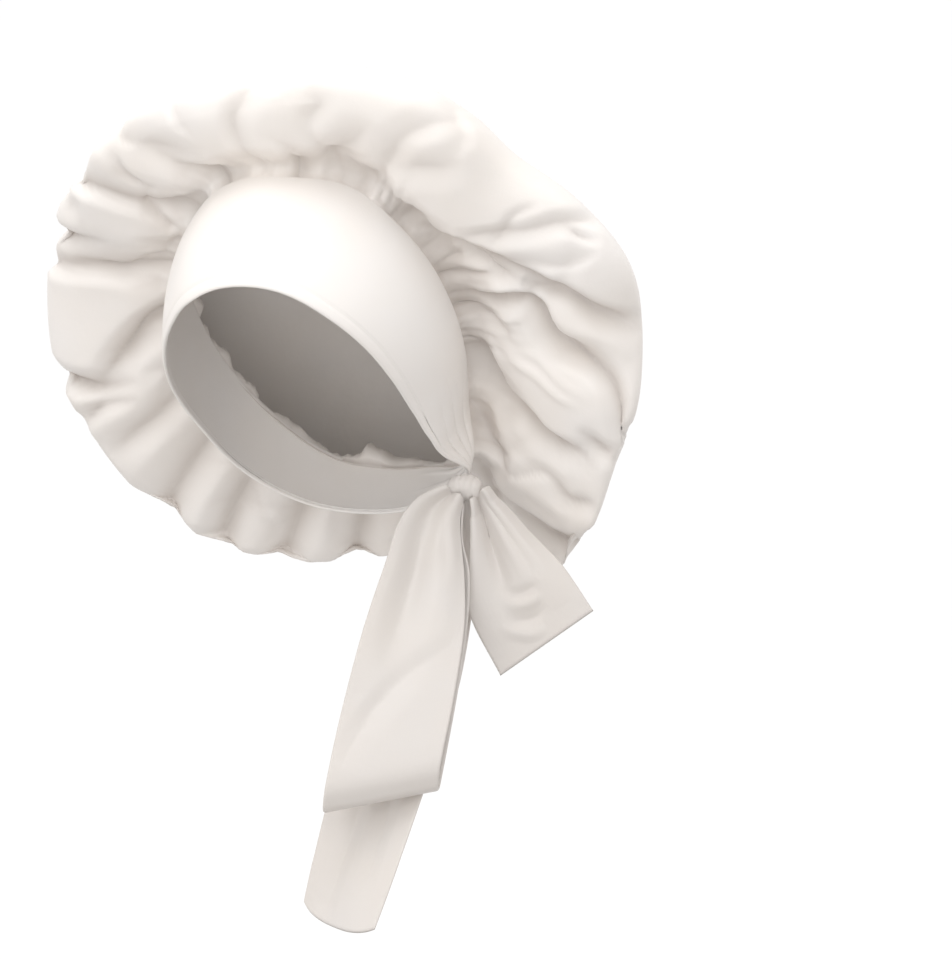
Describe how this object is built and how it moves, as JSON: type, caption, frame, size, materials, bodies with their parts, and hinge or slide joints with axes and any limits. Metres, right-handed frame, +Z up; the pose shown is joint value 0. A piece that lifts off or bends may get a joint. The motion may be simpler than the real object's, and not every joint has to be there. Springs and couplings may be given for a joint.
{
  "type": "satin tie bonnet",
  "caption": "Gathered satin bonnet with a wide smooth headband, tied below one ear in a knot with a hanging loop and free strap ends.",
  "frame": {"origin": "middle of the head opening, where the wearer's head fills the headband", "axes": "+Z up, the wearer faces -Y and the wearer's left is +X; the longest side is the height, from the crown's top to the long tail's end"},
  "size_m": [0.342, 0.2317, 0.4633],
  "materials": {
    "crown_satin": "white satin, soft gloss",
    "band_satin": "white satin, smooth and nearly matte",
    "tie_satin": "white satin, doubled and hemmed"
  },
  "bodies": {
    "root": {"crown": "crown_satin", "headband": "band_satin", "tie_knot": "tie_satin", "bow_loop": "tie_satin", "long_tail": "tie_satin", "short_tail": "tie_satin"}
  },
  "joints": []
}
